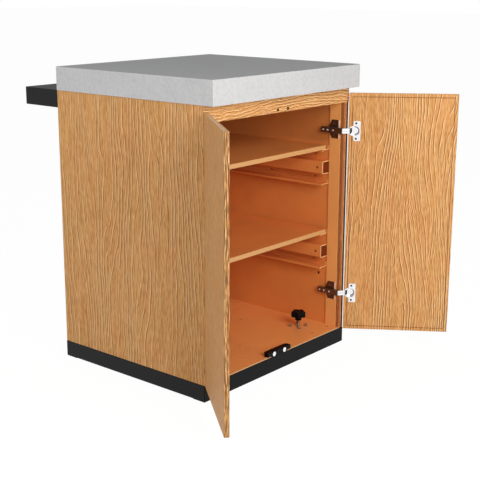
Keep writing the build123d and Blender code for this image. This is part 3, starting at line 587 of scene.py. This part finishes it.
# Plated or bare metal: spots gives a share of each point that is dark, which in the cups is painted
# shade, and bright one that is pale, on an edge or a screw head. Neither mirrors as the metal does.
def plated(name, kind, spots=None, bright=None, its=metalSet):
    colour, roughness, vary = its[kind]
    finish = Finish(name, Metallic=1.0)
    at = finish.place()
    scratch = finish.noise(at, *its["scratches"])
    patch = finish.noise(at, *its["patches"])
    metal = finish.blend(patch, tuple(part * (1 - vary) for part in colour), colour)
    if bright:
        edge = bright(finish)
        metal = finish.blend(edge, metal, its["bright"])
        finish.set(Metallic=1.0 - edge * its["brightMatt"])
    # Painted dark: shade in the cups' hollows, and the knuckles' line
    if spots:
        hollow = spots(finish)
        metal = finish.blend(hollow, metal, its["hollow"])
        finish.set(Metallic=1.0 - hollow)
    finish.set(Base_Color=metal, Roughness=scratch * its["scratchRough"] + roughness)
    return finish


# Distance from two distances square to each other: the root of the sum of their squares
def distance(one, other):
    return (one ** 2.0 + other ** 2.0) ** 0.5


# A round spot: 1 within a share of its radius and 0 beyond it
def roundSpot(one, other, radius, core):
    return 1.0 - distance(one, other).step(radius * core, radius)


# Distances along the door from its hinge edge, heights from the hinge's middle, and radii
cupSet = {"centre": 0.0208, "disc": 0.0100, "ring": 0.0126, "behind": (-0.004, 0.003),
          "ringLost": 0.97, "soft": 0.0004, "slot": (0.0030, 0.0112), "slotHalf": 0.0084,
          "slotSoft": 0.0005, "screw": 0.0236, "screwRise": 0.024, "screwDark": 0.0037,
          "screwCore": 0.8}


# Cups: painted shade darkens the slot by the pin, the far half of the ring round the bowl's floor
# and the screws' sockets.
def cupShade(side, its=cupSet):
    way = doorDirection(side)
    edge = reach(side + "_door_tray", way)[0]

    def spots(finish):
        x, y, z = finish.axes()
        along = x * way[0] + y * way[1] - edge
        rise = fromHinge(z)
        middle = along - its["centre"]
        away = distance(middle, rise)
        ring = away.over(its["disc"], its["soft"]) * away.under(its["ring"], its["soft"])
        slot = (along.over(its["slot"][0], its["soft"]) * along.under(its["slot"][1], its["soft"])
                * rise.under(its["slotHalf"], its["slotSoft"]))
        screw = roundSpot(along - its["screw"], rise - its["screwRise"], its["screwDark"],
                          its["screwCore"])
        return slot.most(ring * middle.step(*its["behind"]) * its["ringLost"]).most(screw)
    return spots


hingeSet = {"armReach": (0.009, 0.010), "lineDrop": 0.0006, "line": (0.0004, 0.0012),
            "lineLost": 0.35, "plateEdge": (0.0022, 0.0027)}


# Screws: those on the arms are brighter than those of the plates.
def armScrews(finish, its=hingeSet):
    return 1.0 - fromHinge(finish.axes()[2]).step(*its["armReach"])


# Knuckles: a thin grey line runs along the middle.
def knuckleLine(finish, its=hingeSet):
    fromLine = fromHinge(finish.axes()[2] + its["lineDrop"])
    return (1.0 - fromLine.step(*its["line"])) * its["lineLost"]


# Plates: the front edge is bright.
def plateEdge(finish, its=hingeSet):
    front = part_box("hinge_plates")[0].y
    return 1.0 - finish.axes()[1].step(*(front + depth for depth in its["plateEdge"]))


boardSet = {"chips": (340.0, 3.0, 0.7), "deep": (0.46, 0.45, 0.43), "light": (0.74, 0.73, 0.70),
            "roughness": 0.85, "shine": 0.2, "relief": 0.0004, "reliefForce": 0.4}


# Cores: board of chips in two greys
def coreBoard(its=boardSet):
    finish = Finish("coreBoard", Specular_IOR_Level=its["shine"], Roughness=its["roughness"])
    chips = finish.noise(finish.place(), *its["chips"])
    finish.set(Base_Color=finish.blend(chips, its["deep"], its["light"]))
    finish.bump(chips, its["relief"], its["reliefForce"])
    return finish


# Turn between a closed door and its open rest
def openTurn(side):
    return math.radians(hinges[side + "_door_hinge"]["range_deg"][1])


sideSign = {"right": 1, "left": -1}


# Along an open door from its hinge edge
def doorDirection(side):
    turn = openTurn(side)
    return (-sideSign[side] * math.cos(turn), -math.sin(turn), 0)


# Out of an open door's inner face
def doorInward(side):
    turn = openTurn(side)
    return (-sideSign[side] * math.sin(turn), math.cos(turn), 0)


foldSet = {"inset": 0.0112, "line": (0.0002, 0.0022), "depth": (0.0012, 0.00168)}


# Painted shade along the line where a door's sheet is folded in: 1 near the inset rectangle on the
# inner face.
def doorFoldShade(side, its=foldSet):
    tray = side + "_door_tray"
    way = doorDirection(side)
    inward = doorInward(side)
    near, far = reach(tray, way)
    face = reach(tray, inward)[1]
    low, high = (corner.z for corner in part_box(tray))

    def foldShade(xyz):
        x, y, z = xyz
        along = x * way[0] + y * way[1]
        edge = (along - near).least(far - along).least(z - low).least(high - z)
        depth = face - (x * inward[0] + y * inward[1])
        line = 1.0 - (edge - its["inset"]).size().step(*its["line"])
        return line * (1.0 - depth.step(*its["depth"]))
    return foldShade


# Painted shade on a door's free edge, with strokes of grain in it
edgeSet = {"from": 0.0008, "soft": 0.0004, "lost": 0.14, "strokeLost": 0.55,
           # changes a metre up, and reach in turns; changes a metre across and up
           "sway": (14.0, 4.0), "strokes": (260.0, 34.0), "strokeStep": (0.40, 0.60)}


# A door's free edge is darker than its faces by painted shade, with darker short strokes of grain
# along it.
def doorEdgeShade(side, its=edgeSet):
    way = doorDirection(side)
    inward = doorInward(side)
    far = reach(side + "_door_tray", way)[1]

    def share(finish, xyz):
        x, y, z = xyz
        along = x * way[0] + y * way[1]
        deep = x * inward[0] + y * inward[1]
        swayScale, swayReach = its["sway"]
        sway = finish.noise(finish.point(0.0, 0.0, z * swayScale), detail=1.0) * swayReach
        across, up = its["strokes"]
        strokes = finish.noise(finish.point(deep * across + sway, 0.0, z * up), detail=1.0)
        return (along.over(far - its["from"], its["soft"])
                * (strokes.step(*its["strokeStep"]) * its["strokeLost"] + its["lost"]))
    return share


# The middles of the two groups of a node's points, below and above its mid height
def twoHeights(name):
    z = pointsOf(name)[:, 2]
    middle = (z.min() + z.max()) / 2
    return [float(part.min() + part.max()) / 2 for part in (z[z < middle], z[z > middle])]


hingeZ = twoHeights("hinge_pins")


# Height from the nearer hinge's middle
def fromHinge(z):
    return (z - hingeZ[0]).size().least((z - hingeZ[1]).size())


# Places of the skins' folded edge: side, corner and glintX by size of x, and front by y
shadeSet = {
    "side": 0.3333, "sideSoft": 0.0004, "front": -0.2787, "frontSoft": 0.0005,
    "lost": 0.62, "colour": (0.26, 0.03, 0.003),
    "corner": 0.3242, "cornerSoft": 0.0008, "cornerLost": 0.92,
    # glint: colour and place of the painted highlight on the front edge
    "glint": (0.96, 0.58, 0.30), "glintX": 0.3222, "glintHalf": 0.0026, "glintCore": 0.6,
    "glintFace": (-0.2912, -0.2909), "dotPitch": 0.0058, "dotStep": (-0.3, 0.6),
    "patches": (20.0, 34.0), "patchStep": (0.30, 0.60), "patchLeast": 0.4,
}


# Skins: 1 on the folded front edge and its return
def skinFront(xyz, its=shadeSet):
    x, y = xyz[:2]
    return x.size().under(its["side"], its["sideSoft"]) * y.under(its["front"], its["frontSoft"])


# Skins: the folded front edge and its return are in the shade of the doors.
def skinShade(_, xyz, its=shadeSet):
    return skinFront(xyz) * its["lost"]


# Skins: painted shade of the gap by the door darkens the front edge most towards its outer corner.
def skinCornerShade(_, xyz, its=shadeSet):
    outer = xyz[0].size().over(its["corner"], its["cornerSoft"])
    return outer * its["cornerLost"] * skinFront(xyz)


# Skins: a painted highlight in a dotted line along the bend of the front edge, uneven in strength.
# The dots are where the sine of the height over their pitch is high.
def skinGlint(finish, xyz, its=shadeSet):
    x, y, z = xyz
    line = ridge(x.size(), its["glintX"], its["glintHalf"], its["glintCore"])
    dots = (z * (2 * math.pi / its["dotPitch"])).wave().step(*its["dotStep"])
    across, up = its["patches"]
    force = finish.noise(finish.point(x * across, 0.0, z * up), detail=1.0).step(*its["patchStep"])
    return (line * (1.0 - y.step(*its["glintFace"])) * dots
            * (force * (1 - its["patchLeast"]) + its["patchLeast"]))


holeSet = {"across": (-0.0200, 0.0265), "rise": 0.009, "radius": 0.0050, "core": 0.85,
           "colour": (0.010, 0.004, 0.002)}


# Rail: painted shade darkens the two screw holes and a ring round each.
def railHoleShade(_, xyz, its=holeSet):
    x, z = xyz[0], xyz[2]
    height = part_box("front_top_rail")[0].z + its["rise"]
    spots = sum((roundSpot(x - place, z - height, its["radius"], its["core"])
                 for place in its["across"]), 0.0)
    return spots.clamped()


channelSet = {"height": 0.041, "sheet": 0.003, "margin": 0.0002, "soft": 0.0004, "lost": 0.78,
              "holeRadius": 0.0040, "holeFromEnd": 0.020, "core": 0.75}


# Middles of the two channels, from their node's box
def channelMiddles():
    low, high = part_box("right_side_channels")
    return low.z + channelSet["height"] / 2, high.z - channelSet["height"] / 2


# Height from the nearer channel's middle
def fromChannel(z):
    low, high = channelMiddles()
    return (z - low).size().least((z - high).size())


# Channels: the inner faces get painted shade, and the screw hole near each front end gets darker
# painted shade.
def channelShade(finish, its=channelSet):
    x, y, z = finish.axes()
    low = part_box("right_side_channels")[0]
    rise = fromChannel(z)
    inner = (x.size().over(low.x + its["sheet"] - its["margin"] - its["soft"], its["soft"])
             * rise.under(its["height"] / 2 - its["sheet"] + its["margin"], its["soft"]))
    hole = roundSpot(y - (low.y + its["holeFromEnd"]), rise, its["holeRadius"], its["core"])
    return inner * its["lost"], hole


pinSet = {"firstY": -0.1837, "pitch": 0.178, "above": 0.037, "below": 0.035, "radius": 0.0034,
          "core": 0.7, "cableY": -0.2047, "cableZ": 0.2195, "cableRadius": 0.0046,
          "cableCore": 0.75, "lost": 0.95,
          "upperLost": 0.24, "upperFade": (-0.24, 0.05), "upperFoot": (0.646, 0.662)}


# Liners: painted shade behind the channels, a little painted shade of the rail above the upper
# shelf towards the front, and darker painted shade in their holes. A column of holes is where the
# fraction of the distance over the pitch passes a whole number.
def linerShade(finish, its=pinSet):
    y, z = finish.axes()[1:]
    channel = channelSet
    soft = channel["soft"]
    inside = channel["height"] / 2 - channel["sheet"] - soft
    covered = (fromChannel(z).under(inside, soft)
               * y.over(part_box("right_side_channels")[0].y, soft) * channel["lost"])
    column = (((y - its["firstY"]) * (1 / its["pitch"]) + 0.5).part() - 0.5).size() * its["pitch"]
    rows = [middle + rise for middle in channelMiddles()
            for rise in (its["above"], -its["below"])]
    row = (z - rows[0]).size()
    for height in rows[1:]:
        row = row.least((z - height).size())
    pins = roundSpot(column, row, its["radius"], its["core"])
    cable = roundSpot(y - its["cableY"], z - its["cableZ"], its["cableRadius"], its["cableCore"])
    # Painted shade of the rail on the top compartment, towards the front
    upper = (1.0 - y.step(*its["upperFade"])) * z.step(*its["upperFoot"]) * its["upperLost"]
    return covered, (pins.most(cable) * its["lost"]).most(upper)


backSet = {"from": 0.0003, "soft": 0.0003}


# Back: the face towards the shelves has the orange of the liners.
def insideBack(_, xyz, its=backSet):
    return xyz[1].under(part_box("back_panel")[0].y + its["from"], its["soft"])


skinMarks = ((skinShade, shadeSet["colour"]), (skinCornerShade, oakSet["dark"]),
             (skinGlint, shadeSet["glint"]))
# Grain sheets: weights across and along, and a seed for each
grain = {
    "skins": oakSheet("oakSides", (1, 1, 0), (0, 0, 1), 0.31, marks=skinMarks,
                      dense=0.68, wavy=1.3, loops=0.9),
    "rail": oakSheet("oakRail", (0, 0.4, 1), (2.2, 0, 0), 2.17,
                     marks=((railHoleShade, holeSet["colour"]),),
                     bold=1.15, dense=1.25, wavy=1.3, loops=0.45),
    "back": oakSheet("oakBack", (1, 0, 0), (0, 0, 1), 4.4, marks=((insideBack, orange),)),
}
for side, seed in (("right", 7.7), ("left", 5.2)):
    across = tuple(map(sum, zip(doorDirection(side), doorInward(side))))
    grain[side] = oakSheet("oak" + side.capitalize() + "Door", across, (0, 0, 1), seed,
                           foldShade=doorFoldShade(side), marks=((doorEdgeShade(side), oakSet["dark"]),))

# Stiles: a paler copy of the orange coat, painted light
litStileCoat = powderCoat("litOrangeCoat", "stile")
linerCoat = powderCoat("orangeCoat", "liner", hollow=linerShade)
blackPlastic = powderCoat("blackPlastic", "plastic")
zinc = plated("zincPlate", "zinc")

paint(concrete(), "worktop")
paint(coreBoard(), "worktop_core", "left_door_core", "right_door_core")
paint(grain["skins"], "left_side_skin", "right_side_skin")
paint(grain["rail"], "front_top_rail", "rear_top_rail")
paint(grain["back"], "back_panel")
for side in ("left", "right"):
    paint(grain[side], side + "_door_tray", side + "_door_pan")
    paint(litStileCoat, side + "_stile")
    paint(linerCoat, side + "_side_liner")
    paint(plated(side + "Cups", "cup", spots=cupShade(side)),
          side + "_hinge_cups", side + "_cup_screws")
    for folded, hollow in (("_shelf_lips", None), ("_side_channels", channelShade)):
        paint(powderCoat(side + folded + "_coat", "liner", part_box(side + folded)[0].y, hollow,
                         sheetEdgeHighlight), side + folded)
# The floor panel's coat is the brighter, painted-light copy of the orange.
for folded, kind in (("floor_panel", "floor"), ("upper_shelf", "shelf"),
                     ("lower_shelf", "shelf")):
    paint(powderCoat(folded + "_coat", kind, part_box(folded)[0].y), folded)
paint(powderCoat("blackCoat", "black"), "plinth_rear", "plinth_left", "plinth_right",
      "rear_ledge")
# Front plinth: a darker copy of the black coat, painted shade
paint(powderCoat("shadedBlackCoat", "shadedBlack"), "plinth_front")
paint(plated("knucklePlate", "nickel", spots=knuckleLine), "hinge_knuckles")
paint(plated("nickelPlate", "nickel"), "hinge_pins")
paint(plated("screwHead", "screw", bright=armScrews), "hinge_screws")
paint(plated("armPlate", "arm"), "hinge_arms")
paint(plated("wallPlate", "plate", bright=plateEdge), "hinge_plates")
paint(zinc, "worktop_screws", "floor_rivets", "ledge_bolts", "ledge_brackets", "floor_brace",
      "leveller_plates", "leveller_bolts")
paint(blackPlastic, "catch_body")
paint(plated("catchDisc", "disc"), "catch_magnets")
corners = ("front_left", "front_right", "rear_left", "rear_right")
for place in corners:
    paint(blackPlastic, "foot_" + place)
print("finishes done")


# Surface of turning: rows of points round an upright axis, closed at both ends. rings is an
# array of radii, one row for each height, and one column for each angle.
def turned(name, centre, heights, rings, finish, smooth=True):
    rows, columns = rings.shape
    angle = np.arange(columns) * (2 * np.pi / columns)
    points = np.empty((rows, columns, 3))
    points[:, :, 0] = centre[0] + rings * np.cos(angle)
    points[:, :, 1] = centre[1] + rings * np.sin(angle)
    points[:, :, 2] = np.asarray(heights)[:, None]
    cell = np.arange(rows * columns).reshape(rows, columns)
    beside = np.roll(cell, -1, axis=1)
    quads = np.stack([cell[:-1], beside[:-1], beside[1:], cell[1:]], axis=-1).reshape(-1, 4)
    faces = quads.tolist() + [cell[0, ::-1].tolist(), cell[-1].tolist()]
    mesh = bpy.data.meshes.new(name)
    mesh.from_pydata(points.reshape(-1, 3).tolist(), [], faces)
    mesh.polygons.foreach_set("use_smooth", [smooth] * len(faces))
    mesh.materials.append(finish.material)
    piece = bpy.data.objects.new(name, mesh)
    scene.collection.objects.link(piece)
    return piece


# Middle of a box between two corners, in x and y
def middleOf(low, high):
    return (low.x + high.x) / 2, (low.y + high.y) / 2


knobSet = {
    "lobes": 5, "columns": 120, "valley": 0.0172, "swell": 0.0066, "swellPower": 0.8,
    "hub": 0.0103, "hubHeight": 0.011,
    # share of the hub's radius or of the lobed outline, and rise above the lobes' foot
    "hubProfile": [(0.40, -0.011), (0.92, -0.011), (1.0, -0.0102), (1.0, -0.0004)],
    "lobeProfile": [(0.80, 0.0), (0.955, 0.0003), (0.99, 0.0012), (1.0, 0.0026), (1.0, 0.0152),
                    (0.985, 0.0172), (0.95, 0.0184), (0.88, 0.019), (0.70, 0.019),
                    (0.66, 0.0186), (0.64, 0.0178), (0.30, 0.0176), (0.02, 0.0176)],
}


# Star knob: the outline's radius swells with a power of the cosine of lobes times the angle.
def starKnob(where, its=knobSet):
    node = "knob_" + where
    centre = middleOf(*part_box("spindle_" + where))
    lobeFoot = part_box(node)[0].z + its["hubHeight"]
    angle = np.arange(its["columns"]) * (2 * np.pi / its["columns"])
    swelling = ((np.cos(its["lobes"] * angle) + 1) / 2) ** its["swellPower"]
    outline = its["valley"] + its["swell"] * swelling
    rings, heights = [], []
    for share, rise in its["hubProfile"]:
        rings.append(np.full(its["columns"], its["hub"] * share))
        heights.append(lobeFoot + rise)
    for share, rise in its["lobeProfile"]:
        rings.append(outline * share)
        heights.append(lobeFoot + rise)
    knob = turned("star_knob_" + where, centre, heights, np.array(rings), blackPlastic)
    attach(knob, node)
    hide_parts(node)


threadSet = {"pitch": 0.00125, "depth": 0.00062, "radius": 0.00398, "rowsPerTurn": 6,
             "columns": 24, "chamfer": 0.0008, "endGap": 0.00002}


# Threaded spindle: the radius falls from the crest with the distance from the helix, and to the
# thread's root towards each end.
def threadedRod(where, its=threadSet):
    node = "spindle_" + where
    low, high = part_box(node)
    rows = int((high.z - low.z) / its["pitch"] * its["rowsPerTurn"])
    heights = np.linspace(low.z + its["endGap"], high.z - its["endGap"], rows)
    turn = (heights / its["pitch"])[:, None] - np.arange(its["columns"]) / its["columns"]
    fall = np.abs((turn % 1.0) * 2 - 1)
    fromEnd = np.minimum(heights - heights[0], heights[-1] - heights)
    taper = np.clip(1 - fromEnd / its["chamfer"], 0, 1)[:, None] * its["depth"]
    rings = np.minimum(its["radius"] - fall * its["depth"], its["radius"] - taper)
    rod = turned("threaded_rod_" + where, middleOf(low, high), heights, rings, zinc, smooth=False)
    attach(rod, "knob_" + where)
    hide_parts(node)


for place in corners:
    starKnob(place)
    threadedRod(place)
print("knobs and rods done")
